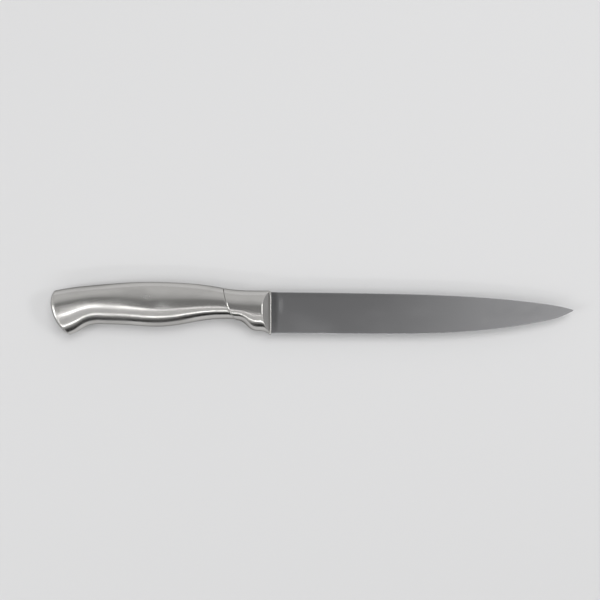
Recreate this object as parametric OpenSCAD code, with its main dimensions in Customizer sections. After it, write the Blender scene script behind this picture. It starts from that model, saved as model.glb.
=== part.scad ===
// Carving knife with a hollow steel handle, lying on its left side as on a table.
// X runs from the butt to the tip, Y from the cutting edge to the spine, and Z up out of the right side.
// The origin is under the middle of the knife, on the surface that it lies on.

/* [Knife] */
// Length from the butt to the tip
overall_length = 345; // [330:1:360]
// Length of the blade in front of the bolster
blade_length = 200; // [190:1:210]

/* [Blade] */
// Thickness of the spine at the bolster
spine_thickness = 2.2; // [2:0.1:2.6]
// Thickness behind the edge at the bolster
edge_shoulder = 0.44; // [0.3:0.02:0.6]
// How much each side of the blade leans in towards the tip, in mm for each mm of length
side_lean = 0.0009; // [0.0005:0.0001:0.0012]
// Angle of the sharpened bevel on each side
bevel_angle = 18; // [14:1:22]
// Length of the tang behind the bolster's front face
tang_length = 60; // [50:1:70]
// Height of the tang where it enters the bolster
tang_height = 11.5; // [10:0.5:12]

/* [Handle] */
// Thickness of the handle where it is widest
handle_thickness = 17; // [16:0.5:19]
// Thickness of the pressed steel that the handle shells are made of
wall = 1; // [0.8:0.1:1.2]
// Width of the seams that join the handle shells
seam_width = 0.5; // [0.3:0.1:0.8]
// How far the butt cap bulges
cap_bulge = 2.6; // [2:0.1:3]

/* [Bolster] */
// How far the bolster's rear lip stands proud of the shells at the belly
lip_height = 0.8; // [0.5:0.1:1.2]
// Width of the rim that the blade butts against
rim_width = 1.3; // [1:0.1:1.6]
// Thickness of the rim
rim_thickness = 3.8; // [3.4:0.1:4.2]
// Thickness of the cast wall
bolster_wall = 2.2; // [1.8:0.1:2.4]

/* [Hidden] */

steel = "silver";
ground_steel = "dimgray";
weld_steel = "gainsboro";
resin = "burlywood";

handle_length = overall_length - blade_length;
bolster_front = handle_length - overall_length / 2;
mid_plane = handle_thickness / 2;
seam_half = seam_width / 2;
gap = 0.05;
sliding_gap = 0.1;
// The lines below are drawn for a handle and a blade of these lengths, and stretch with them.
drawn_handle = 145;
drawn_blade = 200;
handle_stretch = handle_length / drawn_handle;
blade_stretch = blade_length / drawn_blade;

// Points across one side of a section and along each piece
side_steps = 14;
handle_steps = 46;
bolster_steps = 13;
blade_steps = 44;
// A section is flat at its crest and tightens towards the spine and the belly.
section_power = 2.8;
section_root = 0.72;

// Outline of the shells: distance from the butt, height over the centre line
spine_line = [[2, 11.7], [11, 13.3], [32, 15.6], [50, 16.95], [66, 17.39], [82, 16.95], [97, 15.9],
    [108, 14.35], [117, 12.8], [125, 11.95], [133, 11.72], [145, 11.7]];
belly_line = [[12, -17.39], [16.5, -15.5], [21.5, -12.5], [26.5, -10.6], [35, -10.3], [50, -10.85],
    [66, -11.95], [82, -11.05], [98, -8.2], [110, -6.95], [121, -7]];
// Line of greatest thickness, seen from the side
crest_line = [[0, 0], [14, 3], [32, 5.4], [66, 2.6], [98, 3.5], [122, 3]];
// Half the thickness, as a share of the widest, which it never passes
half_line = [[0, 0.93], [20, 0.975], [50, 1.002], [85, 1.002], [122, 0.95]];
// The same lines for the bolster
lip_line = [[119, -7 - lip_height], [122.5, -7.1 - lip_height], [125, -8.3], [127.6, -10], [130.9, -13],
    [134, -14.5], [140, -15.1], [143.7, -16.9]];
bolster_crest_line = [[112, 2], [120, 0.6], [130, -0.2], [145, -0.8]];
bolster_half_line = [[112, 1], [145, 1]];
// Front edge of the shells: height over the centre line, distance from the butt
front_edge_line = [[-8, 121.9], [-3.7, 118.7], [2.9, 116], [8.9, 114.3], [14, 113.4]];
// Butt arc: the shells end on it and the cap bulges out of it
butt_arc_radius = 38.3;
butt_arc_height = 8;
butt_arc_reach = 30;
shell_start = 2.6;

butt_gap = 0.4;
flange_length = 3;
cap_wall = 1.2;
cap_rings = 6;
cap_centre = -2.5;
// The dome's outer ring is this many degrees in from its edge. The power makes the dome flat in the middle.
cap_edge = 12;
cap_power = 3.2;

neck_length = 8;
neck_inset = wall + sliding_gap;
cavity_start = 124;
cavity_end = 133;
cavity_step = 3;
lip_round = 0.8;
// How far in and ahead the middle ring of the lip's rounding lies
lip_middle = 0.3 * lip_round;
// How far back the bolster's front slopes for each mm of height over the rim
slope_run = 0.66;
rim_start = drawn_handle - rim_width;
rim_half = rim_thickness / 2;
rim_spine = 11.35;
rim_belly = -17.35;
rim_power = 14;
rim_round = 0.45;

tang_taper = 1.5;
tang_middle = 2.8;
tang_gap = 0.1;
// Holes that key the tang into the resin, as distances behind the bolster's front
key_holes = [15, 26];
key_radius = 1.5;

// Blade outline: distance from the bolster, height over the centre line
blade_spine_line = [[0, 10.8], [50, 10.15], [100, 9.1], [130, 7.75], [155, 5.8], [180, 2.95], [193, 0.7],
    [200, -1.2]];
blade_edge_line = [[0, -16.6], [50, -16.8], [85, -16.86], [112, -16.35], [137, -14.75], [160, -12.05],
    [180, -8.4], [193, -4.7], [200, -1.2]];
edge_flat = 0.02;
tip_blunt = 0.3;
bevel_rise = tan(bevel_angle);
// The blank's bevels run this far up, or this share of the height where the blade is low.
bevel_reach = 6;
bevel_share = 0.7;
blank_half = 2;
side_slope = (spine_thickness - edge_shoulder) / 2 / (blade_spine_line[0][1] - blade_edge_line[0][1]);

// Second derivatives of a natural cubic spline through points [t, value], worked out down the list and back
function spline_down(p, i = 1, c = [0], d = [0]) = i >= len(p) - 1 ? [c, d] :
    let (before = p[i][0] - p[i - 1][0],
        after = p[i + 1][0] - p[i][0],
        turn = 6 * ((p[i + 1][1] - p[i][1]) / after - (p[i][1] - p[i - 1][1]) / before),
        pivot = 2 * (before + after) - before * c[i - 1])
    spline_down(p, i + 1, concat(c, [after / pivot]), concat(d, [(turn - before * d[i - 1]) / pivot]));
function spline_back(s, i, bends) = i < 1 ? concat([0], bends) :
    spline_back(s, i - 1, concat([s[1][i] - s[0][i] * bends[0]], bends));
function bends_of(p) = spline_back(spline_down(p), len(p) - 2, [0]);

function span_of(p, t, i = 0) = i >= len(p) - 2 || t < p[i + 1][0] ? i : span_of(p, t, i + 1);
function inside_value(p, bends, i, t) =
    let (width = p[i + 1][0] - p[i][0],
        a = (p[i + 1][0] - t) / width,
        b = 1 - a)
    a * p[i][1] + b * p[i + 1][1]
        + ((a ^ 3 - a) * bends[i] + (b ^ 3 - b) * bends[i + 1]) * width ^ 2 / 6;
// Value of the spline at t, carried on straight past its ends
function along(line, t) =
    let (p = line[0],
        last = len(p) - 1,
        held = min(max(t, p[0][0]), p[last][0]),
        small = 0.01,
        inner = t < held ? p[0][0] + small : p[last][0] - small,
        edge = t < held ? p[0] : p[last])
    t == held ? inside_value(p, line[1], span_of(p, t), t) :
    edge[1] + (t - edge[0])
        * (inside_value(p, line[1], span_of(p, inner), inner) - edge[1]) / (inner - edge[0]);

function curve(p) = [p, bends_of(p)];
front_edge_curve = curve(front_edge_line);
blade_spine_curve = curve(blade_spine_line);
blade_edge_curve = curve(blade_edge_line);
// A form is the spine, belly, crest and half thickness of a body with this section.
shell_form = [curve(spine_line), curve(belly_line), curve(crest_line), curve(half_line)];
bolster_form = [curve(spine_line), curve(lip_line), curve(bolster_crest_line), curve(bolster_half_line)];

// Shell ends, as a distance from the butt for a height over the centre line
function butt_end(y) = shell_start + butt_arc_radius
    - sqrt(butt_arc_radius ^ 2 - min(abs(y - butt_arc_height), butt_arc_reach) ^ 2);
function front_end(y) = along(front_edge_curve, y);

// One point of a form's section. share runs from -1 at the belly to 1 at the spine.
function section_y(form, x, share, inset) =
    let (crest = along(form[2], x),
        reach = share > 0 ? along(form[0], x) - crest : crest - along(form[1], x))
    crest + share * (reach - inset);
function section_z(form, x, share, inset) =
    let (half = mid_plane * min(along(form[3], x), 1) - inset)
    seam_half + (half - seam_half) * (1 - min(abs(share), 1) ^ section_power) ^ section_root;
function section_point(form, x, share, inset) =
    [x, section_y(form, x, share, inset), section_z(form, x, share, inset)];
shares = [for (i = [0:side_steps]) sin(-90 + 180 * i / side_steps)];

// The ends are slanted, so how far from the butt a point on them lies depends on its height, and its height
// on how far it lies. Each function below starts from a guess and comes closer in a few steps.
solve_steps = 9;
butt_guess = 6;
lip_guess = 117;
slope_guess = 140;
function between(a, b, t) = (1 - t) * a + t * b;
function closer(x, next) = between(x, next, 0.7);

// The point at share t between the shells' two ends
function solve_shell(t, share, inset, x, steps) = steps == 0 ? x :
    let (y = section_y(shell_form, x, share, inset))
    solve_shell(t, share, inset, closer(x, between(butt_end(y), front_end(y), t)), steps - 1);
function shell_x(t, share, inset) =
    solve_shell(t, share, inset, between(butt_guess, lip_guess, t), solve_steps);
// The point at share t of the bolster's body, between its lip and the slope down to the rim
function solve_bolster(t, share, x, steps) = steps == 0 ? x :
    let (y = section_y(bolster_form, x, share, 0),
        z = section_z(bolster_form, x, share, 0),
        slope = rim_start - slope_run * max(0, z - rim_half))
    solve_bolster(t, share, closer(x, between(front_end(y) + gap + lip_round, slope, t)), steps - 1);
function bolster_x(t, share) = solve_bolster(t, share, between(lip_guess, slope_guess, t), solve_steps);
// The point on the bolster's rear face, drawn in by inset and moved on by ahead
function solve_lip(share, inset, ahead, x, steps) = steps == 0 ? x :
    let (y = section_y(bolster_form, x, share, inset))
    solve_lip(share, inset, ahead, closer(x, front_end(y) + gap + ahead), steps - 1);
function lip_x(share, inset, ahead) = solve_lip(share, inset, ahead, lip_guess, solve_steps);

// Half of a section, from belly to spine: along the shells, along the bolster, and straight across
function shell_arc(t, inset, shift = 0) = [for (share = shares)
    section_point(shell_form, shell_x(t, share, inset) + shift, share, inset)];
function bolster_arc(t) = [for (share = shares) section_point(bolster_form, bolster_x(t, share), share, 0)];
function lip_arc(inset, ahead) = [for (share = shares)
    section_point(bolster_form, lip_x(share, inset, ahead), share, inset)];
function across_arc(form, x, inset) = [for (share = shares) section_point(form, x, share, inset)];

function backwards(list) = [for (i = [len(list) - 1:-1:0]) list[i]];
function full_ring(arc) = concat(arc, [for (p = backwards(arc)) [p[0], p[1], -p[2]]]);
function placed(points) = [for (p = points)
    [p[0] * handle_stretch - overall_length / 2, p[1], p[2] + mid_plane]];
function joined(lists) = [for (list = lists) each list];

// Triangles that join one ring of n points to the next, for a stack of rings. The diagonals of the right
// half mirror those of the left half, and leaning swaps them, so that pieces that touch share their facets.
function stack_sides(rings, n, leaning = false) = [for (r = [0:rings - 2], i = [0:n - 1])
    let (a = r * n + i, b = r * n + (i + 1) % n)
    each (i < n / 2) == leaning ? [[a, b, b + n], [a, b + n, a + n]] : [[a, b, a + n], [b, b + n, a + n]]];
// Strips that close the two ends of a stack of C-shaped rings, an outer arc and then the inner arc backwards
function strip_end(first, n, flip) = [for (i = [0:n / 2 - 2])
    let (a = first + i, b = first + i + 1, c = first + n - 2 - i, d = first + n - 1 - i)
    each flip ? [[a, c, b], [a, d, c]] : [[a, b, c], [a, c, d]]];
function fan_end(first, n, centre, flip) = [for (i = [0:n - 1])
    let (a = first + i, b = first + (i + 1) % n)
    flip ? [a, b, centre] : [b, a, centre]];
function middle(ring) = [for (k = [0:2]) [for (p = ring) p[k]] * [for (p = ring) 1] / len(ring)];

// A solid through C-shaped rings
module strip_solid(rings) {
    n = len(rings[0]);
    polyhedron(placed(joined(rings)), concat(stack_sides(len(rings), n), strip_end(0, n, true),
        strip_end((len(rings) - 1) * n, n, false)), convexity = 6);
}

// A solid through closed rings, with both ends drawn in to a point
module closed_solid(rings) {
    n = len(rings[0]);
    count = len(rings) * n;
    ends = [middle(rings[0]), middle(rings[len(rings) - 1])];
    polyhedron(placed(concat(joined(rings), ends)), concat(stack_sides(len(rings), n),
        fan_end(0, n, count, false), fan_end(count - n, n, count + 1, true)), convexity = 6);
}

// A closed loop of section, such as a ring weld
module loop_solid(rings) {
    n = len(rings[0]);
    polyhedron(placed(joined(rings)), stack_sides(len(rings), n, true), convexity = 6);
}

// Shares along the shells, closer together at the hooked butt
crowding = 0.45;
crowding_power = 1.8;
function station(i) = let (s = i / handle_steps) between(s, s ^ crowding_power, crowding);
function butt_shift(t) = t == 0 ? butt_gap : 0;
function shell_ring(t) =
    concat(shell_arc(t, 0, butt_shift(t)), backwards(shell_arc(t, wall, butt_shift(t))));

module handle_shell() strip_solid([for (i = [0:handle_steps]) shell_ring(station(i))]);

module handle_shell_right() color(steel) handle_shell();

module handle_shell_left() color(steel)
    translate([0, 0, handle_thickness]) mirror([0, 0, 1]) handle_shell();

// A strip of weld between the shells, flush inside and out. side is 1 at the spine, -1 at the belly.
function weld_ring(t, side) =
    let (outer = shell_x(t, side, 0) + butt_shift(t),
        inner = shell_x(t, side, wall) + butt_shift(t),
        y_out = section_y(shell_form, outer, side, 0),
        y_in = section_y(shell_form, inner, side, wall),
        ring = [[outer, y_out, seam_half], [outer, y_out, -seam_half],
            [inner, y_in, -seam_half], [inner, y_in, seam_half]])
    side > 0 ? ring : backwards(ring);

module seam_weld(side) color(weld_steel) {
    rings = [for (i = [0:handle_steps]) weld_ring(station(i), side)];
    n = 4;
    last = handle_steps * n;
    polyhedron(placed(joined(rings)), concat(stack_sides(len(rings), n),
        [[0, 2, 1], [0, 3, 2], [last, last + 1, last + 2], [last, last + 2, last + 3]]), convexity = 6);
}

module spine_weld() seam_weld(1);

module belly_weld() seam_weld(-1);

// The ring of weld between the butt cap and the ends of the shells
module butt_weld() color(weld_steel) {
    rear_out = full_ring(shell_arc(0, 0));
    front_out = full_ring(shell_arc(0, 0, butt_gap));
    front_in = full_ring(shell_arc(0, wall, butt_gap));
    rear_in = full_ring(shell_arc(0, wall));
    loop_solid([rear_out, front_out, front_in, rear_in, rear_out]);
}

// The butt cap's dome at one share of its size, drawn in towards the middle of the butt
function cap_dome(scale, inset, lift) = [for (p = full_ring(shell_arc(0, inset)))
    let (y = cap_centre + (p[1] - cap_centre) * scale,
        rise = lift * sqrt(1 - scale ^ cap_power))
    [butt_end(y) - rise + (p[0] - butt_end(p[1])) * scale, y, p[2] * scale]];

// The butt cap: a pressed dome with a flange that sits inside the shells
module butt_cap() color(steel) {
    inset = wall + sliding_gap;
    scales = [for (i = [0:cap_rings]) cos(between(cap_edge, 90, i / (cap_rings + 1)))];
    outer = concat([for (s = backwards(scales)) cap_dome(s, 0, cap_bulge)], [cap_dome(1, 0, 0)]);
    flange = [full_ring(shell_arc(0, wall)), full_ring(shell_arc(0, inset)),
        full_ring(shell_arc(0, inset, flange_length / 2)), full_ring(shell_arc(0, inset, flange_length)),
        full_ring(shell_arc(0, inset + wall, flange_length)),
        full_ring(shell_arc(0, inset + wall, cap_wall))];
    inner = [for (s = scales) cap_dome(s, inset + wall, cap_bulge - cap_wall)];
    closed_solid(concat(outer, flange, inner));
}

// The bolster: a cast cup with a neck inside the shells, a rounded lip against their ends, and a slope
// down to the rim round the blade
function rim_ring(x, shrink) =
    let (middle_y = (rim_spine + rim_belly) / 2,
        half_height = (rim_spine - rim_belly) / 2 - shrink)
    full_ring([for (share = shares) [x, middle_y + half_height * share,
        seam_half + (rim_half - shrink - seam_half) * sqrt(1 - abs(share) ^ rim_power)]]);
// The neck follows the shells from their front ends back.
function neck_ring(back, inset) = full_ring(shell_arc(1, inset, gap - back));

module bolster() color(steel) difference() {
    closed_solid(concat(
        [for (i = [2:-1:0]) neck_ring(neck_length * i / 2, neck_inset)],
        [full_ring(lip_arc(lip_round, 0)), full_ring(lip_arc(lip_middle, lip_middle))],
        [for (i = [0:bolster_steps]) full_ring(bolster_arc(i / bolster_steps))],
        [rim_ring(rim_start + gap, 0), rim_ring(drawn_handle - rim_round, 0),
            rim_ring(drawn_handle, rim_round)]));
    cavity([neck_length + 1, neck_length, 0]);
    tang(tang_gap);
}

// The hollow behind the bolster's front wall. backs are its rear rings' distances behind the shells' fronts.
module cavity(backs) closed_solid(concat(
    [for (back = backs) neck_ring(back, neck_inset + bolster_wall)],
    [for (x = [cavity_start:cavity_step:cavity_end])
        full_ring(across_arc(bolster_form, x, bolster_wall))]));

// The tang's outline in the blade's plane, grown all round for its slot in the bolster
module tang(grow) {
    root = tang_height / 2 + grow;
    end = root - tang_taper;
    front = bolster_front + gap;
    rear = bolster_front - tang_length - grow;
    translate([0, tang_middle, mid_plane - spine_thickness / 2 - grow])
        linear_extrude(spine_thickness + 2 * grow)
        polygon([[front, -root], [front, root], [rear, end], [rear, -end]]);
}

module holed_tang() difference() {
    tang(0);
    for (back = key_holes)
        translate([bolster_front - back, tang_middle, 0])
            cylinder(r = key_radius, h = handle_thickness, $fn = 48);
}

// Resin that fills the hollow of the bolster round the tang
module tang_resin() color(resin) difference() {
    cavity([neck_length, 0]);
    holed_tang();
}

// One section of the blade's blank: the outline with its two edge bevels, thicker than the ground sides
function blade_ring(x) =
    let (small = 0.05,
        before = max(x - small, 0),
        after = min(x + small, drawn_blade),
        spine = along(blade_spine_curve, x),
        edge = along(blade_edge_curve, x),
        lean = (along(blade_edge_curve, after) - along(blade_edge_curve, before)) / (after - before),
        reach = min(bevel_reach, (spine - edge) * bevel_share),
        rise = edge_flat + bevel_rise * reach / sqrt(1 + lean ^ 2),
        place = (handle_length + x * blade_stretch) / handle_stretch)
    [[place, spine, -blank_half], [place, edge + reach, -rise], [place, edge, -edge_flat],
        [place, edge, edge_flat], [place, edge + reach, rise], [place, spine, blank_half]];
// Sections crowd towards the tip.
tip_crowding = 0.6;
function blade_station(i) =
    let (s = i / blade_steps) (drawn_blade - tip_blunt) * ((1 + tip_crowding) * s - tip_crowding * s ^ 2);

module blade_blank() {
    rings = [for (i = [0:blade_steps]) blade_ring(blade_station(i))];
    n = len(rings[0]);
    last = blade_steps * n;
    polyhedron(placed(joined(rings)), concat(stack_sides(len(rings), n),
        [for (i = [1:n - 2]) [0, i + 1, i]], [for (i = [1:n - 2]) [last, last + i, last + i + 1]]),
        convexity = 6);
}

// A slab whose top is one ground side of the blade, or with side -1 whose bottom is the other
slab = 500;
module ground_side(side)
    translate([bolster_front, blade_spine_line[0][1], mid_plane + side * spine_thickness / 2])
    rotate([side * atan(side_slope), 0, 0]) rotate([0, side * atan(side_lean), 0])
    translate([-slab / 2, -slab / 2, side > 0 ? -slab : 0]) cube(slab);

module blade() color(ground_steel) union() {
    intersection() {
        blade_blank();
        ground_side(1);
        ground_side(-1);
    }
    holed_tang();
}

blade();
bolster();
handle_shell_right();
handle_shell_left();
spine_weld();
belly_weld();
butt_weld();
butt_cap();
tang_resin();
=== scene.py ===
import math

import bmesh
import bpy
import numpy as np
from bpy.props import FloatProperty, FloatVectorProperty, IntProperty, PointerProperty
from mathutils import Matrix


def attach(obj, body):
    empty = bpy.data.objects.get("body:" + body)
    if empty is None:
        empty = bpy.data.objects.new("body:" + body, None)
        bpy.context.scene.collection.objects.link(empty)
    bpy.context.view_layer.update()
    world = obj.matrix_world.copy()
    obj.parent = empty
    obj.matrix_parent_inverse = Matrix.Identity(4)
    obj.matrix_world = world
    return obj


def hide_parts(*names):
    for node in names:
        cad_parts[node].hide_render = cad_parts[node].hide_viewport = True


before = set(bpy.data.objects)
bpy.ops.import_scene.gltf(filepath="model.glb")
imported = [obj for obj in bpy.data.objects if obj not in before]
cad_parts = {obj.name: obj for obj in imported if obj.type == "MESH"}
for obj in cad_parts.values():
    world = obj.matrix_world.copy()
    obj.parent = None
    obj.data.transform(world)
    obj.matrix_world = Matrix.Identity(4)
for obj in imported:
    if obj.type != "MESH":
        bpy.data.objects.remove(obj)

bl_info = {
    "name": "Carving knife",
    "version": (1, 0, 0),
    "blender": (4, 5, 0),
    "location": "3D View > Sidebar > Knife",
    "description": "Builds a carving knife with a hollow steel handle round its packed CAD part",
    "category": "Object",
}

MM = 1000.0
ROOT_BODY = "root"
# Whole length of the knife and where the bolster ends and the blade begins, from the butt
OVERALL = 345.0
HANDLE_LENGTH = 145.0
BLADE_LENGTH = 200.0

# A section is flat at its crest and tightens towards the spine and the belly.
SECTION_POWER = 2.8
SECTION_ROOT = 0.72
SOLVE_STEPS = 16
SOLVE_EASE = 0.7
ARC_POINTS = 45

# Outlines in side view: distance from the butt, height over the centre line
SPINE_LINE = [(2, 11.7), (11, 13.3), (32, 15.6), (50, 16.95), (66, 17.39), (82, 16.95), (97, 15.9),
              (108, 14.35), (117, 12.8), (125, 11.95), (133, 11.72), (145, 11.7)]
BELLY_LINE = [(12, -17.39), (16.5, -15.5), (21.5, -12.5), (26.5, -10.6), (35, -10.3), (50, -10.85),
              (66, -11.95), (82, -11.05), (98, -8.2), (110, -6.95), (121, -7)]
CREST_LINE = [(0, 0), (14, 3), (32, 5.4), (66, 2.6), (98, 3.5), (122, 3)]
HALF_LINE = [(0, 0.93), (20, 0.975), (50, 1.002), (85, 1.002), (122, 0.95)]
LIP_LINE = [(119, -7.8), (122.5, -7.9), (125, -8.3), (127.6, -10), (130.9, -13), (134, -14.5),
            (140, -15.1), (143.7, -16.9)]
BOLSTER_CREST_LINE = [(112, 2), (120, 0.6), (130, -0.2), (145, -0.8)]
BOLSTER_HALF_LINE = [(112, 1), (145, 1)]
# Height over the centre line, distance from the butt
FRONT_EDGE_LINE = [(-8, 121.9), (-3.7, 118.7), (2.9, 116), (8.9, 114.3), (14, 113.4)]
BUTT_ARC_RADIUS = 38.3
BUTT_ARC_HEIGHT = 8.0
BUTT_ARC_REACH = 30.0
SHELL_START = 2.6
# Distance from the bolster, height over the centre line
BLADE_SPINE_LINE = [(0, 10.8), (50, 10.15), (100, 9.1), (130, 7.75), (155, 5.8), (180, 2.95),
                    (193, 0.7), (200, -1.2)]
BLADE_EDGE_LINE = [(0, -16.6), (50, -16.8), (85, -16.86), (112, -16.35), (137, -14.75), (160, -12.05),
                   (180, -8.4), (193, -4.7), (200, -1.2)]

# Where the pieces meet
GAP = 0.05
SLIDING_GAP = 0.1
BUTT_GAP = 0.4
NECK_LENGTH = 8.0
CAVITY_START = 124.0
CAVITY_END = 133.0
FLANGE_LENGTH = 3.0
CAP_WALL = 1.2
CAP_CENTRE = -2.5
CAP_POWER = 3.2
SLOPE_RUN = 0.66
RIM_SPINE = 11.35
RIM_BELLY = -17.35
RIM_POWER = 14.0
SLOT_END = 0.05
TANG_TAPER = 1.5
TANG_MIDDLE = 2.8
TANG_CORNER = 0.15
TIP_BLUNT = 0.3
TIP_CROWDING = 0.6
EDGE_HALF = 0.02


class Curve:
    """A natural cubic spline through points, carried on straight past its ends."""

    def __init__(self, points):
        self.t, self.value = np.array(points, float).T
        count = len(self.t)
        width = np.diff(self.t)
        slope = np.diff(self.value) / width
        matrix = np.eye(count)
        turn = np.zeros(count)
        for i in range(1, count - 1):
            matrix[i, i - 1:i + 2] = width[i - 1], 2 * (width[i - 1] + width[i]), width[i]
            turn[i] = 6 * (slope[i] - slope[i - 1])
        self.bend = np.linalg.solve(matrix, turn)
        self.first_slope = slope[0] - width[0] * self.bend[1] / 6
        self.last_slope = slope[-1] + width[-1] * self.bend[-2] / 6

    def __call__(self, t):
        held = np.clip(t, self.t[0], self.t[-1])
        i = np.clip(np.searchsorted(self.t, held, side="right") - 1, 0, len(self.t) - 2)
        width = self.t[i + 1] - self.t[i]
        b = (held - self.t[i]) / width
        a = 1 - b
        inside = (a * self.value[i] + b * self.value[i + 1]
                  + ((a ** 3 - a) * self.bend[i] + (b ** 3 - b) * self.bend[i + 1]) * width ** 2 / 6)
        before = self.first_slope * np.minimum(t - self.t[0], 0)
        after = self.last_slope * np.maximum(t - self.t[-1], 0)
        return inside + before + after


front_end = Curve(FRONT_EDGE_LINE)
blade_spine = Curve(BLADE_SPINE_LINE)
blade_edge = Curve(BLADE_EDGE_LINE)


def butt_end(y):
    """Where the shells begin, at a height over the centre line."""
    away = np.minimum(np.abs(y - BUTT_ARC_HEIGHT), BUTT_ARC_REACH)
    return SHELL_START + BUTT_ARC_RADIUS - np.sqrt(BUTT_ARC_RADIUS ** 2 - away ** 2)


def between(a, b, t):
    """A value that goes from a to b as t goes from 0 to 1."""
    return (1 - t) * a + t * b


class Form:
    """A body given by its spine, belly, crest and half thickness along the knife."""

    def __init__(self, spine, belly, crest, half, settings):
        self.spine = Curve(spine)
        self.belly = Curve(belly)
        self.crest = Curve(crest)
        self.half = Curve(half)
        self.thickness = settings.thickness * MM / 2
        self.seam = settings.seam_width * MM / 2

    def section(self, x, share, inset):
        """Height and half thickness at a share from -1, the belly, to 1, the spine."""
        crest = self.crest(x)
        reach = np.where(share > 0, self.spine(x) - crest, crest - self.belly(x))
        half = self.thickness * np.minimum(self.half(x), 1) - inset
        fall = (1 - np.minimum(np.abs(share), 1) ** SECTION_POWER) ** SECTION_ROOT
        return crest + share * (reach - inset), self.seam + (half - self.seam) * fall

    def arc(self, target, inset=0.0, shift=0.0):
        """Half of a slanted section: its points lie where target puts them for their height and depth."""
        share = arc_shares()
        x = np.full_like(share, HANDLE_LENGTH / 2)
        for _ in range(SOLVE_STEPS):
            y, z = self.section(x, share, inset)
            x = between(x, target(y, z), SOLVE_EASE)
        y, z = self.section(x + shift, share, inset)
        return np.stack([x + shift, y, z], axis=1)

    def across(self, x, inset):
        """Half of a section that stands straight across the knife at x."""
        share = arc_shares()
        place = np.full_like(share, x)
        y, z = self.section(place, share, inset)
        return np.stack([place, y, z], axis=1)


def arc_shares():
    """Shares from the belly to the spine, closer together at both."""
    return np.sin(np.linspace(-math.pi / 2, math.pi / 2, ARC_POINTS))


def shell_form(settings):
    """The form that the shells, the cap and the bolster's neck share."""
    return Form(SPINE_LINE, BELLY_LINE, CREST_LINE, HALF_LINE, settings)


def bolster_form(settings):
    """The bolster's own form, with its lip along the belly."""
    return Form(SPINE_LINE, LIP_LINE, BOLSTER_CREST_LINE, BOLSTER_HALF_LINE, settings)


def full_ring(arc):
    """A closed ring from its right half and the mirror image of it."""
    return np.concatenate([arc, arc[::-1] * (1, 1, -1)])


def quarter(steps):
    """Shares of a rounding's quarter circle: how far along it, and how far in."""
    angles = np.linspace(0, math.pi / 2, steps + 1)
    return list(zip(1 - np.cos(angles), 1 - np.sin(angles)))


def placed(points, settings):
    """Points from the butt and the knife's middle plane, in the row frame and in metres."""
    moved = np.array(points, float) + (-OVERALL / 2, 0, settings.thickness * MM / 2)
    return moved / MM


def ring_faces(rings, count, loop=False):
    """Quads between neighbouring rings of count points; loop also joins the last ring to the first."""
    faces = []
    for r in range(rings if loop else rings - 1):
        a, b = r * count, (r + 1) % rings * count
        for i in range(count):
            j = (i + 1) % count
            faces.append((a + i, a + j, b + j, b + i))
    return faces


def strip_faces(first, count):
    """Quads that close a C-shaped ring, its outer arc against its inner arc."""
    return [(first + i, first + i + 1, first + count - 2 - i, first + count - 1 - i)
            for i in range(count // 2 - 1)]


def fan_faces(first, count, centre):
    """Triangles that close a ring of count points round a centre point."""
    return [(first + i, first + (i + 1) % count, centre) for i in range(count)]


def solid(name, points, faces, sharp):
    """A closed mesh object with its faces turned outwards, and edges sharper than the angle kept crisp."""
    mesh = bpy.data.meshes.new(name)
    mesh.from_pydata([tuple(p) for p in points], [], faces)
    turned_outwards(mesh)
    mesh.shade_smooth()
    mesh.set_sharp_from_angle(angle=math.radians(sharp))
    made = bpy.data.objects.new(name, mesh)
    bpy.context.scene.collection.objects.link(made)
    return made


def turned_outwards(mesh):
    """Turns all faces of a closed mesh outwards."""
    work = bmesh.new()
    work.from_mesh(mesh)
    bmesh.ops.recalc_face_normals(work, faces=work.faces[:])
    if work.calc_volume(signed=True) < 0:
        bmesh.ops.reverse_faces(work, faces=work.faces[:])
    work.to_mesh(mesh)
    work.free()


def need_closed(made):
    """Stops with an error where a piece isn't one closed surface."""
    work = bmesh.new()
    work.from_mesh(made.data)
    open_edges = [e for e in work.edges if len(e.link_faces) != 2]
    work.free()
    if open_edges:
        raise RuntimeError(f"{made.name} has {len(open_edges)} edges that don't join two faces")


def finished(made, material, slot, *nodes):
    """Hands a piece over: it rides on the knife in place of the CAD nodes."""
    need_closed(made)
    made.data.materials.clear()
    made.data.materials.append(material)
    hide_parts(*nodes)
    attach(made, ROOT_BODY)


class Socket:
    """A shader socket that can stand in sums and products."""

    def __init__(self, tree, socket):
        self.tree = tree
        self.socket = socket

    def math(self, operation, *values):
        return self.tree.node("ShaderNodeMath", {"operation": operation}, dict(enumerate(values)))[0]

    def __add__(self, other):
        return self.math("ADD", self, other)

    def __radd__(self, other):
        return self.math("ADD", other, self)

    def __sub__(self, other):
        return self.math("SUBTRACT", self, other)

    def __rsub__(self, other):
        return self.math("SUBTRACT", other, self)

    def __mul__(self, other):
        return self.math("MULTIPLY", self, other)

    def __rmul__(self, other):
        return self.math("MULTIPLY", other, self)

    def __truediv__(self, other):
        return self.math("DIVIDE", self, other)

    def __rtruediv__(self, other):
        return self.math("DIVIDE", other, self)

    def __pow__(self, other):
        return self.math("POWER", self, other)


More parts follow.
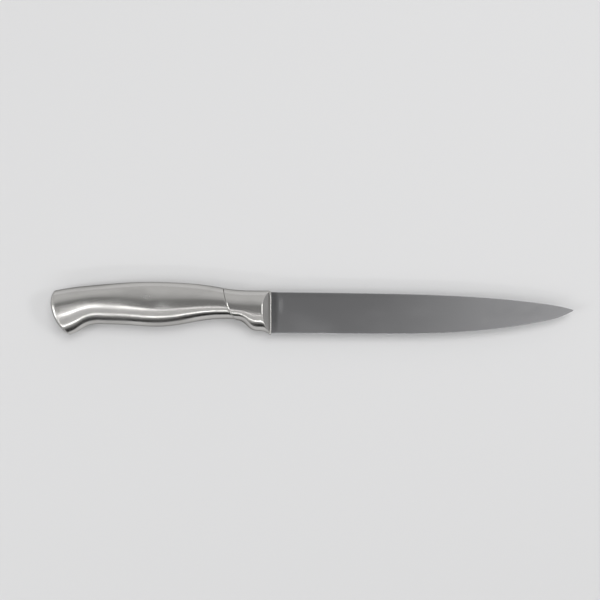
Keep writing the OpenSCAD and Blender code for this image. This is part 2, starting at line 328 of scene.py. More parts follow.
class Tree:
    """A node tree that is filled by one method."""

    def __init__(self, tree):
        self.tree = tree
        tree.nodes.clear()

    def plug(self, target, value):
        """Links a Socket to the target, or sets the target's own value."""
        if isinstance(value, Socket):
            self.tree.links.new(value.socket, target)
        else:
            target.default_value = value

    def node(self, kind, settings=None, values=None):
        """Adds a node and returns its outputs as Sockets. values go by an input's name or number."""
        made = self.tree.nodes.new(kind)
        for key, value in (settings or {}).items():
            setattr(made, key, value)
        for key, value in (values or {}).items():
            self.plug(made.inputs[key], value)
        return [Socket(self, output) for output in made.outputs]

    def smooth(self, value, low, high):
        """0 below low, 1 above high and a smooth rise between."""
        return self.node("ShaderNodeMapRange", {"interpolation_type": "SMOOTHSTEP"},
                         {"Value": value, "From Min": low, "From Max": high})[0]

    def mix(self, share, a, b):
        """A colour between a and b. Inputs 6 and 7 of a Mix node are its colours."""
        return self.node("ShaderNodeMix", {"data_type": "RGBA"}, {0: share, 6: a, 7: b})[2]

    def noise(self, place, stretch, detail, seed):
        """Noise from 0 to 1. stretch is how often it changes in a millimetre, on each axis."""
        at = self.node("ShaderNodeVectorMath", {"operation": "MULTIPLY"},
                       {0: place, 1: [MM * s for s in stretch]})[0]
        moved = self.node("ShaderNodeVectorMath", {"operation": "ADD"}, {0: at, 1: (seed, seed, seed)})[0]
        return self.node("ShaderNodeTexNoise", {}, {"Vector": moved, "Scale": 1.0, "Detail": detail})[0]


def rgba(colour):
    """A colour with its alpha, as sockets want it."""
    return (*colour, 1.0)


def scaled(colour, share):
    """A darker colour for a socket."""
    return rgba([c * share for c in colour])


# Marks on the side that the photo shows: middle along and across the knife, reach along and across
HANDLE_SMUDGES = [(-0.1072, 0.0070, 0.0065, 0.0030), (-0.0985, 0.0012, 0.0070, 0.0060)]
# The blade's shade mark is painted shade: a darker band across the blade beside the bolster
BLADE_PAINTED_SHADE = [(-0.0262, -0.0030, 0.0044, 0.0400)]
BLADE_SMUDGES = [(-0.0211, 0.0020, 0.0022, 0.0070), (0.1130, -0.0085, 0.0025, 0.0030)]


# How much light a finish sends back where it is seen at a slant, as the handle's sides are here
WORN_SLANT = (0.15, 0.15, 0.15)
CLEAN_SLANT = (1.0, 1.0, 1.0)
# How much rougher a ground weld is than the shells
WELD_DULLNESS = 0.06
# How far worn patches, smudges and painted shade change a steel's colour and roughness
WORN_COLOUR = 0.86
WORN_ROUGHNESS = 0.09
LINE_ROUGHNESS = 0.25
SMUDGE_COLOUR = 0.25
SMUDGE_ROUGHNESS = 0.1
# Painted shade: how dark the painted band beside the bolster makes the steel, and how strongly
PAINTED_SHADE_COLOUR = 0.55
PAINTED_SHADE_STRENGTH = 0.8
# Heights between which the marks fade in: the middle plane and just over it
MARKS_FROM = 0.0085
MARKS_FULL = 0.009


def marked(tree, place, marks):
    """1 in the middle of each soft oval mark on the side that lies up, and 0 away from them."""
    x, y, z = tree.node("ShaderNodeSeparateXYZ", {}, {0: place})
    left = 1.0
    for middle_x, middle_y, reach_x, reach_y in marks:
        along = (x - middle_x) / reach_x
        across = (y - middle_y) / reach_y
        left = left * tree.smooth((along * along + across * across) ** 0.5, 0.3, 1.0)
    return (1.0 - left) * tree.smooth(z, MARKS_FROM, MARKS_FULL)


def steel(name, colour, slanted, roughness, brush, bump, cloud, smudges=(), shades=()):
    """Metal brushed along the knife.

    slanted is the light it keeps at a slant, brush how uneven its lines are, bump their depth in
    millimetres, and cloud how much worn patches dull it.
    """
    material = bpy.data.materials.new(name)
    material.use_nodes = True
    tree = Tree(material.node_tree)
    place = tree.node("ShaderNodeTexCoord")[3]
    lines = tree.noise(place, stretch=(0.03, 4.0, 4.0), detail=3.0, seed=3.0)
    fine = tree.noise(place, stretch=(0.12, 11.0, 11.0), detail=2.0, seed=17.0)
    cloudy = tree.noise(place, stretch=(0.035, 0.07, 0.07), detail=4.0, seed=41.0)
    patches = tree.smooth(cloudy, low=0.42, high=0.72)
    worn = lines * 0.6 + fine * 0.4
    base = tree.mix(patches * cloud + (worn - 0.5) * brush, rgba(colour), scaled(colour, WORN_COLOUR))
    rough = roughness + (worn - 0.5) * (LINE_ROUGHNESS * brush) + patches * (WORN_ROUGHNESS * cloud)
    if smudges:
        greasy = marked(tree, place, smudges) * (0.6 + patches * 0.4)
        base = tree.mix(greasy * SMUDGE_COLOUR, base, rgba([0.4 + 0.4 * c for c in colour]))
        rough = rough + greasy * SMUDGE_ROUGHNESS
    # Painted shade: darkens the steel inside the given ovals, on the blade a band beside the bolster
    if shades:
        shade = marked(tree, place, shades) * PAINTED_SHADE_STRENGTH
        base = tree.mix(shade, base, scaled(colour, PAINTED_SHADE_COLOUR))
    normal = tree.node("ShaderNodeBump", {}, {"Strength": 1.0, "Distance": bump / MM, "Height": worn})[0]
    surface = tree.node("ShaderNodeBsdfPrincipled", {},
                        {"Base Color": base, "Metallic": 1.0, "Roughness": rough, "Normal": normal,
                         "Specular Tint": rgba(slanted)})[0]
    tree.node("ShaderNodeOutputMaterial", {}, {"Surface": surface})
    return material


def poured(name, colour):
    """Hard filled resin with a mottled colour."""
    material = bpy.data.materials.new(name)
    material.use_nodes = True
    tree = Tree(material.node_tree)
    place = tree.node("ShaderNodeTexCoord")[3]
    mottle = tree.noise(place, stretch=(0.4, 0.4, 0.4), detail=4.0, seed=9.0)
    grain = tree.noise(place, stretch=(3.0, 3.0, 3.0), detail=2.0, seed=23.0)
    base = tree.mix(mottle, rgba(colour), scaled(colour, 0.7))
    normal = tree.node("ShaderNodeBump", {}, {"Strength": 0.4, "Distance": 0.0001, "Height": grain})[0]
    surface = tree.node("ShaderNodeBsdfPrincipled", {},
                        {"Base Color": base, "Roughness": 0.5 + grain * 0.2, "Normal": normal})[0]
    tree.node("ShaderNodeOutputMaterial", {}, {"Surface": surface})
    return material


def made_once(name, maker, **values):
    """The material of this name, made on its first use."""
    return bpy.data.materials.get(name) or maker(name, **values)


def handle_steel(finish):
    """The brushed steel that the shells, the bolster and the cap share."""
    return made_once("brushed_handle_steel", steel, colour=finish.handle_colour, slanted=WORN_SLANT,
                     roughness=finish.handle_roughness, brush=0.32, bump=0.0005, cloud=1.0,
                     smudges=HANDLE_SMUDGES)


def length_setting(name, description, default):
    """A setting that is a size in metres."""
    return FloatProperty(name=name, description=description, default=default, min=0.0, unit="LENGTH",
                         precision=5)


def colour_setting(name, description, default):
    """A setting that is a colour."""
    return FloatVectorProperty(name=name, description=description, default=default, size=3, min=0.0,
                               max=1.0, subtype="COLOR")


def share_setting(name, description, default):
    """A setting from 0 to 1."""
    return FloatProperty(name=name, description=description, default=default, min=0.0, max=1.0,
                         subtype="FACTOR")


class KnifeHandle(bpy.types.PropertyGroup):
    """Sizes of the handle"""
    thickness: length_setting("Thickness", "Thickness of the handle where it is widest", 0.017)
    wall: length_setting("Wall", "Thickness of the pressed steel", 0.001)
    seam_width: length_setting("Seam width", "Width of the seams that join the shells", 0.0005)
    edge_round: length_setting("Edge rounding", "Rounding of the shells' ends", 0.00012)
    cap_bulge: length_setting("Cap bulge", "How far the butt cap bulges", 0.0026)


class KnifeBolster(bpy.types.PropertyGroup):
    """Sizes of the bolster"""
    lip_round: length_setting("Lip rounding", "Rounding of the lip against the shells", 0.0008)
    crest_round: length_setting("Crest rounding", "Rounding where the front slope begins", 0.00055)
    wall: length_setting("Wall", "Thickness of the cast wall", 0.0022)
    rim_width: length_setting("Rim width", "Width of the rim that the blade butts against", 0.0013)
    rim_thickness: length_setting("Rim thickness", "Thickness of the rim", 0.0038)
    rim_round: length_setting("Rim rounding", "Rounding of the rim's front edge", 0.00045)


class KnifeBlade(bpy.types.PropertyGroup):
    """Sizes of the blade"""
    thickness: length_setting("Spine thickness", "Thickness of the spine at the bolster", 0.0022)
    shoulder: length_setting("Shoulder", "Thickness behind the edge at the bolster", 0.00044)
    side_lean: share_setting("Side lean", "How much each side leans in towards the tip", 0.0009)
    bevel: FloatProperty(name="Bevel", description="Angle of the sharpened bevel on each side",
                         default=math.radians(18.0), subtype="ANGLE")
    spine_round: length_setting("Spine rounding", "Rounding of the spine's edges", 0.0003)
    tang_length: length_setting("Tang length", "Length of the tang behind the bolster's front", 0.06)
    tang_height: length_setting("Tang height", "Height of the tang at the bolster's front", 0.0115)


class KnifeWelds(bpy.types.PropertyGroup):
    """Sizes of the weld beads"""
    seam_crown: length_setting("Seam crown", "How far the beads along the seams stand proud", 0.00001)
    butt_crown: length_setting("Butt crown", "How far the bead round the butt stands proud", 0.00008)
    ripple: length_setting("Ripple", "Depth of the ripples left by grinding", 0.00001)
    ripple_count: FloatProperty(name="Ripples", description="Ripples in a metre", default=900.0)
    seed: IntProperty(name="Seed", description="Seed of the ripples", default=5)


class KnifeFinish(bpy.types.PropertyGroup):
    """Colours and gloss"""
    handle_colour: colour_setting("Handle", "Steel of the handle", (0.66, 0.65, 0.63))
    blade_colour: colour_setting("Blade", "Steel of the blade", (0.5, 0.5, 0.51))
    resin_colour: colour_setting("Resin", "Resin round the tang", (0.6, 0.5, 0.34))
    handle_roughness: share_setting("Handle roughness", "Roughness of the handle", 0.16)
    blade_roughness: share_setting("Blade roughness", "Roughness of the blade", 0.16)


class KnifeStage(bpy.types.PropertyGroup):
    """Floor, light and camera"""
    floor_colour: colour_setting("Floor", "Colour of the floor", (0.66, 0.66, 0.664))
    camera_x: FloatProperty(name="Camera X", description="Camera along the knife", default=-0.00854,
                            unit="LENGTH")
    camera_y: FloatProperty(name="Camera Y", description="Camera across the knife", default=0.00554,
                            unit="LENGTH")
    camera_height: length_setting("Camera height", "Camera over the surface", 0.6585)
    lens: FloatProperty(name="Lens", description="Focal length in millimetres", default=59.1)


class KnifeSettings(bpy.types.PropertyGroup):
    """All settings of the knife"""
    handle: PointerProperty(type=KnifeHandle, name="Handle", description="Sizes of the handle")
    bolster: PointerProperty(type=KnifeBolster, name="Bolster", description="Sizes of the bolster")
    blade: PointerProperty(type=KnifeBlade, name="Blade", description="Sizes of the blade")
    welds: PointerProperty(type=KnifeWelds, name="Welds", description="Sizes of the weld beads")
    finish: PointerProperty(type=KnifeFinish, name="Finish", description="Colours and gloss")
    stage: PointerProperty(type=KnifeStage, name="Stage", description="Floor, light and camera")


SHELL_STATIONS = 110
ROUND_STEPS = 4
STATION_CROWDING = 0.45
STATION_POWER = 1.8


def shell_points(settings):
    """Rings of one handle shell, outer arc and then inner arc, with a small rounding at both ends."""
    form = shell_form(settings)
    wall = settings.wall * MM
    edge = settings.edge_round * MM

    def ring(t, from_butt, from_front, inset):
        def target(y, z):
            return between(butt_end(y) + from_butt, front_end(y) - from_front, t)
        return np.concatenate([form.arc(target, inset), form.arc(target, wall)[::-1]])

    rounding = quarter(ROUND_STEPS)
    rear = [ring(0, BUTT_GAP + edge * along, 0, edge * into) for along, into in rounding]
    share = np.arange(1, SHELL_STATIONS) / SHELL_STATIONS
    body = [ring(t, BUTT_GAP + edge, edge, 0)
            for t in between(share, share ** STATION_POWER, STATION_CROWDING)]
    front = [ring(1, 0, edge * along, edge * into) for along, into in reversed(rounding)]
    return rear + body + front


def shell(name, rings, settings, side):
    """One handle shell: side is 1 for the right one and -1 for its mirror image."""
    count = len(rings[0])
    points = np.concatenate(rings) * (1, 1, side)
    faces = ring_faces(len(rings), count)
    faces += strip_faces(0, count) + strip_faces((len(rings) - 1) * count, count)
    return solid(name, placed(points, settings), faces, sharp=40.0)


class KNIFE_OT_handle(bpy.types.Operator):
    """Builds the two pressed shells of the handle"""
    bl_idname = "knife.handle"
    bl_label = "Handle shells"

    def execute(self, context):
        settings = context.scene.knife
        rings = shell_points(settings.handle)
        for name, side in (("handle_shell_right", 1), ("handle_shell_left", -1)):
            made = shell("shown_" + name, rings, settings.handle, side)
            finished(made, handle_steel(settings.finish), "handle_steel", name)
        return {"FINISHED"}


BOLSTER_STATIONS = 34
LIP_STEPS = 7
CREST_STEPS = 5
RIM_STEPS = 6
NECK_STEPS = 3
HOLLOW_STEPS = 3
SLOT_POWER = 60
# The most of the way down the front slope that the rounding at its top may take
MOST_OF_SLOPE = 0.45


def rim_ring(x, half_thickness, seam, shrink):
    """A ring of the rim that the blade butts against, drawn in by shrink."""
    share = arc_shares()
    y = (RIM_SPINE + RIM_BELLY) / 2 + ((RIM_SPINE - RIM_BELLY) / 2 - shrink) * share
    z = seam + (half_thickness - shrink - seam) * np.sqrt(1 - np.abs(share) ** RIM_POWER)
    return full_ring(np.stack([np.full_like(share, x), y, z], axis=1))


def slot_ring(back, settings):
    """The mouth of the tang's slot, this far behind the bolster's front."""
    share = arc_shares()
    taper = TANG_TAPER * back / (settings.tang_length * MM)
    y = TANG_MIDDLE + (settings.tang_height * MM / 2 + SLIDING_GAP - taper) * share
    fall = (1 - np.abs(share) ** SLOT_POWER) ** 0.5
    z = between(SLOT_END, settings.thickness * MM / 2 + SLIDING_GAP, fall)
    return full_ring(np.stack([np.full_like(share, HANDLE_LENGTH - back), y, z], axis=1))


def bolster_rings(settings):
    """Rings of the bolster in a closed loop: neck, lip, body, slope, rim, tang slot and hollow."""
    handle, bolster, blade = settings.handle, settings.bolster, settings.blade
    shells, form = shell_form(handle), bolster_form(handle)
    neck_inset = handle.wall * MM + SLIDING_GAP
    wall = bolster.wall * MM
    lip = bolster.lip_round * MM
    rim_half = bolster.rim_thickness * MM / 2
    rim_start = HANDLE_LENGTH - bolster.rim_width * MM
    crest = bolster.crest_round * MM
    rim = bolster.rim_round * MM

    def neck(back, inset):
        return full_ring(shells.arc(lambda y, z: front_end(y), inset, GAP - back))

    def body(t, short):
        def target(y, z):
            slope = rim_start - SLOPE_RUN * np.maximum(0, z - rim_half)
            return between(front_end(y) + GAP + lip, slope - short, t)
        return full_ring(form.arc(target))

    necks = [neck(NECK_LENGTH * i / NECK_STEPS, neck_inset) for i in range(NECK_STEPS, -1, -1)]
    lips = [full_ring(form.arc(lambda y, z: front_end(y) + GAP + lip * along, lip * into))
            for along, into in quarter(LIP_STEPS)]
    bodies = [body(i / BOLSTER_STATIONS, crest) for i in range(1, BOLSTER_STATIONS + 1)]
    base = rim_ring(rim_start + GAP, rim_half, handle.seam_width * MM / 2, 0)
    corner = body(1, 0)
    way = base - corner
    far = np.linalg.norm(way, axis=1, keepdims=True)
    after = corner + way * np.minimum(crest / far, MOST_OF_SLOPE)
    crests = [(1 - t) ** 2 * bodies[-1] + 2 * t * (1 - t) * corner + t ** 2 * after
              for t in np.arange(1, CREST_STEPS + 1) / CREST_STEPS]
    rims = [rim_ring(HANDLE_LENGTH - rim * into, rim_half, handle.seam_width * MM / 2, rim * along)
            for along, into in quarter(RIM_STEPS)]
    slots = [slot_ring(0, blade), slot_ring(HANDLE_LENGTH - CAVITY_END, blade)]
    hollow = [full_ring(form.across(x, wall))
              for x in np.linspace(CAVITY_END, CAVITY_START, HOLLOW_STEPS + 1)]
    inner = [neck(back, neck_inset + wall) for back in (0, NECK_LENGTH / 2, NECK_LENGTH)]
    return necks + lips + bodies + crests + [base] + rims + slots + hollow + inner


class KNIFE_OT_bolster(bpy.types.Operator):
    """Builds the cast bolster with its neck, its lip and the rim round the blade"""
    bl_idname = "knife.bolster"
    bl_label = "Bolster"

    def execute(self, context):
        settings = context.scene.knife
        rings = bolster_rings(settings)
        count = len(rings[0])
        faces = ring_faces(len(rings), count, loop=True)
        made = solid("shown_bolster", placed(np.concatenate(rings), settings.handle), faces, sharp=30.0)
        finished(made, handle_steel(settings.finish), "handle_steel", "bolster")
        return {"FINISHED"}


DOME_STEPS = 26
# The angle of the dome's smallest ring, where 90 degrees is its middle
DOME_MIDDLE = math.radians(87)


def cap_rings(settings):
    """Rings of the butt cap, from the dome's middle out, round its flange and back to the middle."""
    form = shell_form(settings)
    wall = settings.wall * MM
    inset = wall + SLIDING_GAP
    bulge = settings.cap_bulge * MM

    def arc(drawn_in, shift=0.0):
        return full_ring(form.arc(lambda y, z: butt_end(y), drawn_in, shift))

    def dome(scale, drawn_in, lift):
        edge = arc(drawn_in)
        y = CAP_CENTRE + (edge[:, 1] - CAP_CENTRE) * scale
        rise = lift * math.sqrt(1 - scale ** CAP_POWER)
        x = butt_end(y) - rise + (edge[:, 0] - butt_end(edge[:, 1])) * scale
        return np.stack([x, y, edge[:, 2] * scale], axis=1)

    scales = [math.cos(a) for a in np.linspace(DOME_MIDDLE, 0, DOME_STEPS)]
    outer = [dome(s, 0, bulge) for s in scales]
    flange = [arc(wall), arc(inset), arc(inset, FLANGE_LENGTH / 2), arc(inset, FLANGE_LENGTH),
              arc(inset + wall, FLANGE_LENGTH), arc(inset + wall, CAP_WALL)]
    inner = [dome(s, inset + wall, bulge - CAP_WALL) for s in scales[::-1][1:]]
    return outer + flange + inner


class KNIFE_OT_cap(bpy.types.Operator):
    """Builds the domed cap that closes the butt"""
    bl_idname = "knife.cap"
    bl_label = "Butt cap"

    def execute(self, context):
        settings = context.scene.knife
        rings = cap_rings(settings.handle)
        count = len(rings[0])
        total = count * len(rings)
        points = np.concatenate(rings + [rings[0].mean(0, keepdims=True), rings[-1].mean(0, keepdims=True)])
        faces = ring_faces(len(rings), count) + fan_faces(0, count, total)
        faces += fan_faces(total - count, count, total + 1)
        made = solid("shown_butt_cap", placed(points, settings.handle), faces, sharp=40.0)
        finished(made, handle_steel(settings.finish), "handle_steel", "butt_cap")
        return {"FINISHED"}


BLADE_STATIONS = 170
SIDE_POINTS = 10
BEVEL_POINTS = 5
SPINE_POINTS = 7
TANG_STATIONS = 24
# The step over which the edge's slope is measured, and limits as shares of what the sections have
LEAN_STEP = 0.05
MOST_BEVEL = 0.7
MOST_ROUNDING = 0.2
MOST_THICKNESS = 0.8


def blade_half(x, settings):
    """Height and half thickness round the right half of the blade's section, spine to edge."""
    spine, edge = blade_spine(x), blade_edge(x)
    ahead, behind = min(x + LEAN_STEP, BLADE_LENGTH), max(x - LEAN_STEP, 0)
    lean = (blade_edge(ahead) - blade_edge(behind)) / (ahead - behind)
    rise = math.tan(settings.bevel) / math.sqrt(1 + lean ** 2)
    half = settings.thickness * MM / 2
    height = BLADE_SPINE_LINE[0][1] - BLADE_EDGE_LINE[0][1]
    slope = (half - settings.shoulder * MM / 2) / height
    level = half - slope * BLADE_SPINE_LINE[0][1] - settings.side_lean * x

    def depth(y):
        return np.minimum(level + slope * y, EDGE_HALF + rise * (y - edge))

    turn = min((level - EDGE_HALF + rise * edge) / (rise - slope), edge + MOST_BEVEL * (spine - edge))
    rounding = min(settings.spine_round * MM, MOST_ROUNDING * (spine - edge))
    angles = np.linspace(0, math.pi / 2, SPINE_POINTS)
    top = float(depth(spine - rounding))
    across = min(rounding, MOST_THICKNESS * top)
    round_y = spine - rounding * (1 - np.cos(angles))
    round_z = top - across * (1 - np.sin(angles))
    side_y = np.linspace(spine - rounding, turn, SIDE_POINTS)[1:]
    bevel_y = np.linspace(turn, edge, BEVEL_POINTS)[1:]
    y = np.concatenate([[spine], round_y, side_y, bevel_y, [edge]])
    z = np.concatenate([[0], round_z, depth(side_y), depth(bevel_y), [0]])
    return y, z


def tang_half(back, settings):
    """The same number of points round the right half of the tang's section."""
    half = settings.thickness * MM / 2
    reach = settings.tang_height * MM / 2 - TANG_TAPER * back / (settings.tang_length * MM)
    corner = TANG_CORNER
    angles = np.linspace(0, math.pi / 2, SPINE_POINTS)
    below = np.linspace(math.pi / 2, 0, BEVEL_POINTS)
    top_y = TANG_MIDDLE + reach - corner * (1 - np.cos(angles))
    side_y = np.linspace(TANG_MIDDLE + reach - corner, TANG_MIDDLE - reach + corner, SIDE_POINTS)[1:]
    low_y = TANG_MIDDLE - reach + corner * (1 - np.cos(below[1:]))
    y = np.concatenate([[TANG_MIDDLE + reach], top_y, side_y, low_y, [TANG_MIDDLE - reach]])
    top_z = half - corner * (1 - np.sin(angles))
    low_z = half - corner * (1 - np.sin(below[1:]))
    z = np.concatenate([[0], top_z, np.full(SIDE_POINTS - 1, half), low_z, [0]])
    return y, z


def flat_ring(x, y, z):
    """A closed ring at x. The first and the last point of the half lie in the middle plane."""
    half = np.stack([np.full_like(y, x), y, z], axis=1)
    return np.concatenate([half, half[-2:0:-1] * (1, 1, -1)])


class KNIFE_OT_blade(bpy.types.Operator):
    """Builds the blade and its tang as one solid"""
    bl_idname = "knife.blade"
    bl_label = "Blade"

    def execute(self, context):
        settings = context.scene.knife
        blade = settings.blade
        tang = blade.tang_length * MM
        rings = [flat_ring(HANDLE_LENGTH - back, *tang_half(back, blade))
                 for back in np.linspace(tang, -GAP, TANG_STATIONS)]
        share = np.arange(BLADE_STATIONS + 1) / BLADE_STATIONS
        spread = (1 + TIP_CROWDING) * share - TIP_CROWDING * share ** 2
        rings += [flat_ring(HANDLE_LENGTH + x, *blade_half(float(x), blade))
                  for x in (BLADE_LENGTH - TIP_BLUNT) * spread]
        count = len(rings[0])
        total = count * len(rings)
        points = np.concatenate(rings + [rings[0].mean(0, keepdims=True), rings[-1].mean(0, keepdims=True)])
        faces = ring_faces(len(rings), count) + fan_faces(0, count, total)
        faces += fan_faces(total - count, count, total + 1)
        made = solid("shown_blade", placed(points, settings.handle), faces, sharp=10.0)
        finish = settings.finish
        material = made_once("ground_blade_steel", steel, colour=finish.blade_colour,
                             slanted=CLEAN_SLANT, roughness=finish.blade_roughness, brush=0.25,
                             bump=0.0005, cloud=0.7, smudges=BLADE_SMUDGES, shades=BLADE_PAINTED_SHADE)
        finished(made, material, "blade_steel", "blade")
        return {"FINISHED"}


ACROSS = "across"
BEAD_POINTS = 7
BEAD_STATIONS = 240
# Where a seam's points are looked for first, and how close the strip's two layers must be to join
SEAM_FROM = 6.0
SEAM_TO = 117.0
JOIN_DISTANCE = 0.000001


def bead_tree():
    """Geometry Nodes that raise, ripple and thicken a strip of surface into a weld bead."""
    group = bpy.data.node_groups.new("weld_bead", "GeometryNodeTree")
    panel = group.interface
    panel.new_socket("Geometry", in_out="INPUT", socket_type="NodeSocketGeometry")
    for name in ("Thickness", "Crown", "Ripple", "Ripple Count"):
        panel.new_socket(name, in_out="INPUT", socket_type="NodeSocketFloat")
    panel.new_socket("Seed", in_out="INPUT", socket_type="NodeSocketInt")
    panel.new_socket("Material", in_out="INPUT", socket_type="NodeSocketMaterial")
    panel.new_socket("Geometry", in_out="OUTPUT", socket_type="NodeSocketGeometry")
    tree = Tree(group)
    strip, thickness, crown, ripple, ripples, seed, material, _ = tree.node("NodeGroupInput")
    across = tree.node("GeometryNodeInputNamedAttribute", {"data_type": "FLOAT"}, {"Name": ACROSS})[0]
    sunk, top, _ = tree.node("GeometryNodeExtrudeMesh", {"mode": "FACES"},
                             {"Mesh": strip, "Offset Scale": 0.0 - thickness, "Individual": False})
    inside = tree.node("GeometryNodeFlipFaces", {}, {"Mesh": sunk})[0]
    joined = tree.tree.nodes.new("GeometryNodeJoinGeometry")
    for part in (inside, strip):
        tree.plug(joined.inputs[0], part)
    merged = tree.node("GeometryNodeMergeByDistance", {},
                       {"Geometry": Socket(tree, joined.outputs[0]), "Distance": JOIN_DISTANCE})[0]
    noise = tree.node("ShaderNodeTexNoise", {"noise_dimensions": "4D"},
                      {"W": seed, "Scale": ripples, "Detail": 1.0})[0]
    lift = (1.0 - across * across) * (crown + ripple * (noise - 0.5)) * (1.0 - top)
    normal = tree.node("GeometryNodeInputNormal")[0]
    offset = tree.node("ShaderNodeVectorMath", {"operation": "SCALE"}, {0: normal, "Scale": lift})[0]
    raised = tree.node("GeometryNodeSetPosition", {}, {"Geometry": merged, "Offset": offset})[0]
    real = tree.node("GeometryNodeRealizeInstances", {}, {"Geometry": raised})[0]
    painted = tree.node("GeometryNodeSetMaterial", {}, {"Geometry": real, "Material": material})[0]
    tree.node("NodeGroupOutput", {}, {"Geometry": painted})
    return group


def seam_strip(settings, side):
    """Rows of points along the gap between the shells, at the spine or the belly."""
    form = shell_form(settings)
    share = np.arange(BEAD_STATIONS + 1) / BEAD_STATIONS
    t = between(share, share ** STATION_POWER, STATION_CROWDING)
    x = between(SEAM_FROM, SEAM_TO, t)
    sides = np.full_like(x, side)
    for _ in range(SOLVE_STEPS):
        y, _ = form.section(x, sides, 0)
        x = between(x, between(butt_end(y) + BUTT_GAP, front_end(y), t), SOLVE_EASE)
    y, _ = form.section(x, sides, 0)
    rows = np.linspace(-1, 1, BEAD_POINTS)
    points = np.stack([np.stack([x, y, np.full_like(x, form.seam * r)], axis=1) for r in rows])
    return points, np.repeat(rows, len(x)), False


def butt_strip(settings):
    """Rows of points round the gap between the butt cap and the shells."""
    form = shell_form(settings)
    rows = np.linspace(-1, 1, BEAD_POINTS)
    points = np.stack([full_ring(form.arc(lambda y, z: butt_end(y), 0.0, BUTT_GAP * (r + 1) / 2))
                       for r in rows])
    return points, np.repeat(rows, points.shape[1]), True


def strip_mesh(name, points, across, closed, settings):
    """A strip of quads with its place across the bead as an attribute, facing away from the knife."""
    rows, count = points.shape[:2]
    faces = []
    for r in range(rows - 1):
        for i in range(count if closed else count - 1):
            j = (i + 1) % count
            faces.append((r * count + i, r * count + j, (r + 1) * count + j, (r + 1) * count + i))
    mesh = bpy.data.meshes.new(name)
    mesh.from_pydata([tuple(p) for p in placed(points.reshape(-1, 3), settings)], [], faces)
    mesh.attributes.new(ACROSS, "FLOAT", "POINT").data.foreach_set("value", across.astype(np.float32))
    crest = Curve(CREST_LINE)
    outward = sum((p.center.y * MM - crest(p.center.x * MM + OVERALL / 2)) * p.normal.y * p.area
                  for p in mesh.polygons)
    if outward < 0:
        mesh.flip_normals()
    return mesh


def bead(name, group, mesh, values):
    """A plain mesh object from the tree's result on a strip."""
    carrier = bpy.data.objects.new(name, mesh)
    bpy.context.scene.collection.objects.link(carrier)
    modifier = carrier.modifiers.new("bead", "NODES")
    modifier.node_group = group
    for item in group.interface.items_tree:
        if item.in_out == "INPUT" and item.name in values:
            modifier[item.identifier] = values[item.name]
    bpy.context.view_layer.update()
    done = bpy.data.meshes.new_from_object(carrier.evaluated_get(bpy.context.evaluated_depsgraph_get()))
    carrier.modifiers.remove(modifier)
    carrier.data = done
    turned_outwards(done)
    done.shade_smooth()
    done.set_sharp_from_angle(angle=math.radians(40))
    return carrier


class KNIFE_OT_welds(bpy.types.Operator):
    """Builds the ground weld beads along the seams and round the butt"""
    bl_idname = "knife.welds"
    bl_label = "Weld beads"

    def execute(self, context):
        settings = context.scene.knife
        handle, welds, finish = settings.handle, settings.welds, settings.finish
        material = made_once("ground_weld_steel", steel, colour=finish.handle_colour,
                             slanted=WORN_SLANT, roughness=finish.handle_roughness + WELD_DULLNESS,
                             brush=0.35, bump=0.0006, cloud=0.4)
        group = bead_tree()
        values = {"Thickness": handle.wall, "Ripple": welds.ripple, "Ripple Count": welds.ripple_count,
                  "Seed": welds.seed, "Material": material}
        strips = {"spine_weld": seam_strip(handle, 1), "belly_weld": seam_strip(handle, -1),
                  "butt_weld": butt_strip(handle)}
        for name, (points, across, closed) in strips.items():
            mesh = strip_mesh("shown_" + name, points, across, closed, handle)
            crown = welds.butt_crown if closed else welds.seam_crown
            made = bead("shown_" + name, group, mesh, {**values, "Crown": crown})
            finished(made, material, "weld_steel", name)
        return {"FINISHED"}


class KNIFE_OT_resin(bpy.types.Operator):
    """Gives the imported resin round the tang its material"""
    bl_idname = "knife.resin"
    bl_label = "Tang resin"

    def execute(self, context):
        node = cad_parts["tang_resin"]
        material = made_once("poured_resin", poured, colour=context.scene.knife.finish.resin_colour)
        if not node.material_slots:
            raise RuntimeError("the packed resin has no material slot")
        for slot in node.material_slots:
            slot.material = material
        return {"FINISHED"}


FLOOR_REACH = 4.0
# Size is width and height, power is in watts, and seen tells if metal reflects the lamp
LAMPS = {
    "key": dict(place=(0.2, 0.6, 1.3), aim=(0, 0, 0), size=(0.7, 0.7), power=7.0, seen=False),
    "left": dict(place=(-1.0, -0.25, 0.75), aim=(-0.1, 0, 0), size=(0.3, 0.5), power=3.0),
    "right": dict(place=(0.9, 0.0, 0.9), aim=(0, 0, 0), size=(0.4, 0.25), power=2.6),
    "corner": dict(place=(-0.56, -0.35, 1.5), aim=(-0.15, 0, 0), size=(0.12, 0.4), power=0.4),
    "strip_high": dict(place=(-0.31, -0.27, 1.5), aim=(-0.31, -0.27, 0), size=(0.7, 0.02), power=0.2,
                       turn=math.radians(-38.6)),
    "strip_low": dict(place=(-0.2, -1.05, 1.0), aim=(-0.2, 0, 0), size=(1.6, 0.05), power=1.6),
}
# The world's grey, how much of it is missing straight above, and what is left low towards -Y
SKY = 0.6
SKY_DIP = 0.4
HORIZON = 0.04
# Where the grey changes, as parts of the unit vector that points that way
SPINE_NEAR = (0.03, 0.32)
SPINE_FAR = (0.2, 0.75)
BELLY_SIDE = (-0.1, -0.2)
TIP_SIDE = (0.06, 0.27)
BUTT_SIDE = (-0.28, -0.5)
LOW_SIDE = (-0.97, -0.72)


def area_lamp(name, place, aim, size, power, seen=True, turn=0.0):
    """A rectangle of light at place that faces aim, turned round that line."""
    data = bpy.data.lights.new(name, "AREA")
    data.shape = "RECTANGLE"
    data.size, data.size_y = size
    data.energy = power
    lamp = bpy.data.objects.new(name, data)
    lamp.location = place
    way = np.array(aim, float) - np.array(place, float)
    lean = math.atan2(math.hypot(way[0], way[1]), -way[2])
    lamp.rotation_euler = (lean, 0, math.atan2(-way[0], way[1]) + turn)
    lamp.visible_glossy = seen
    bpy.context.scene.collection.objects.link(lamp)


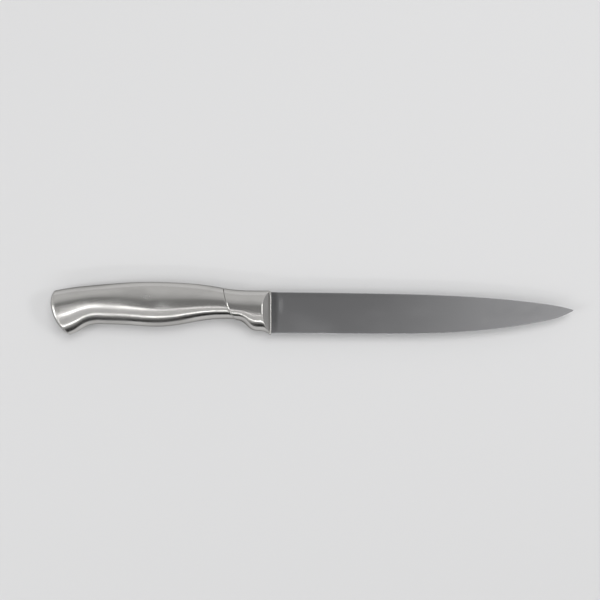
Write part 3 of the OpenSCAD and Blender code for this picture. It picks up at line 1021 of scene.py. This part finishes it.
def studio_world():
    """Soft grey light all round, darker straight above, where the camera stands, and low towards -Y."""
    world = bpy.data.worlds.new("studio")
    bpy.context.scene.world = world
    world.use_nodes = True
    tree = Tree(world.node_tree)
    way = tree.node("ShaderNodeTexCoord")[0]
    x, y, _ = tree.node("ShaderNodeSeparateXYZ", {}, {0: way})
    towards_spine = tree.smooth(y, *SPINE_NEAR) * 0.6 + tree.smooth(y, *SPINE_FAR) * 0.4
    towards_belly = tree.smooth(y, *BELLY_SIDE)
    towards_tip = tree.smooth(x, *TIP_SIDE)
    towards_butt = tree.smooth(x, *BUTT_SIDE)
    closed = (1.0 - towards_spine) * (1.0 - towards_belly) * (1.0 - towards_tip) * (1.0 - towards_butt)
    open_side = tree.smooth(y, *LOW_SIDE)
    level = (SKY - closed * SKY_DIP) * (HORIZON + open_side * (1 - HORIZON))
    grey = tree.node("ShaderNodeCombineColor", {}, {0: level, 1: level, 2: level})[0]
    light = tree.node("ShaderNodeBackground", {}, {"Color": grey, "Strength": 1.0})[0]
    tree.node("ShaderNodeOutputWorld", {}, {"Surface": light})


def floor_material(tint):
    """A plain matt floor."""
    material = bpy.data.materials.new("floor")
    material.use_nodes = True
    tree = Tree(material.node_tree)
    surface = tree.node("ShaderNodeBsdfDiffuse", {}, {"Color": rgba(tint)})[0]
    tree.node("ShaderNodeOutputMaterial", {}, {"Surface": surface})
    return material


class KNIFE_OT_stage(bpy.types.Operator):
    """Builds the floor, the light and the camera"""
    bl_idname = "knife.stage"
    bl_label = "Stage"

    def execute(self, context):
        stage = context.scene.knife.stage
        reach = FLOOR_REACH
        mesh = bpy.data.meshes.new("floor")
        corners = [(-reach, -reach, 0), (reach, -reach, 0), (reach, reach, 0), (-reach, reach, 0)]
        mesh.from_pydata(corners, [], [(0, 1, 2, 3)])
        mesh.materials.append(floor_material(stage.floor_colour))
        floor = bpy.data.objects.new("floor", mesh)
        context.scene.collection.objects.link(floor)
        studio_world()
        for name, lamp in LAMPS.items():
            area_lamp(name, **lamp)
        data = bpy.data.cameras.new("camera")
        data.lens = stage.lens
        camera = bpy.data.objects.new("camera", data)
        camera.location = (stage.camera_x, stage.camera_y, stage.camera_height)
        context.scene.collection.objects.link(camera)
        context.scene.camera = camera
        context.scene.view_settings.view_transform = "Standard"
        return {"FINISHED"}


class KNIFE_PT_panel(bpy.types.Panel):
    """Sidebar panel with all settings and the operators"""
    bl_idname = "KNIFE_PT_panel"
    bl_label = "Carving knife"
    bl_space_type = "VIEW_3D"
    bl_region_type = "UI"
    bl_category = "Knife"

    def draw(self, context):
        settings = context.scene.knife
        for group in (settings.handle, settings.bolster, settings.blade, settings.welds,
                      settings.finish, settings.stage):
            box = self.layout.box()
            for name in group.__annotations__:
                box.prop(group, name)
        for operator in OPERATORS:
            self.layout.operator(operator.bl_idname)


OPERATORS = (KNIFE_OT_handle, KNIFE_OT_bolster, KNIFE_OT_cap, KNIFE_OT_blade, KNIFE_OT_welds,
             KNIFE_OT_resin, KNIFE_OT_stage)
CLASSES = (KnifeHandle, KnifeBolster, KnifeBlade, KnifeWelds, KnifeFinish, KnifeStage, KnifeSettings,
           *OPERATORS, KNIFE_PT_panel)


def register():
    for item in CLASSES:
        bpy.utils.register_class(item)
    bpy.types.Scene.knife = PointerProperty(type=KnifeSettings, name="Knife", description="The knife")


def unregister():
    del bpy.types.Scene.knife
    for item in reversed(CLASSES):
        bpy.utils.unregister_class(item)


def main():
    """Builds the knife and its stage."""
    register()
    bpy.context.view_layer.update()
    bpy.ops.knife.handle()
    bpy.ops.knife.bolster()
    bpy.ops.knife.cap()
    bpy.ops.knife.blade()
    bpy.ops.knife.welds()
    bpy.ops.knife.resin()
    bpy.ops.knife.stage()


if __name__ == "__main__":
    main()
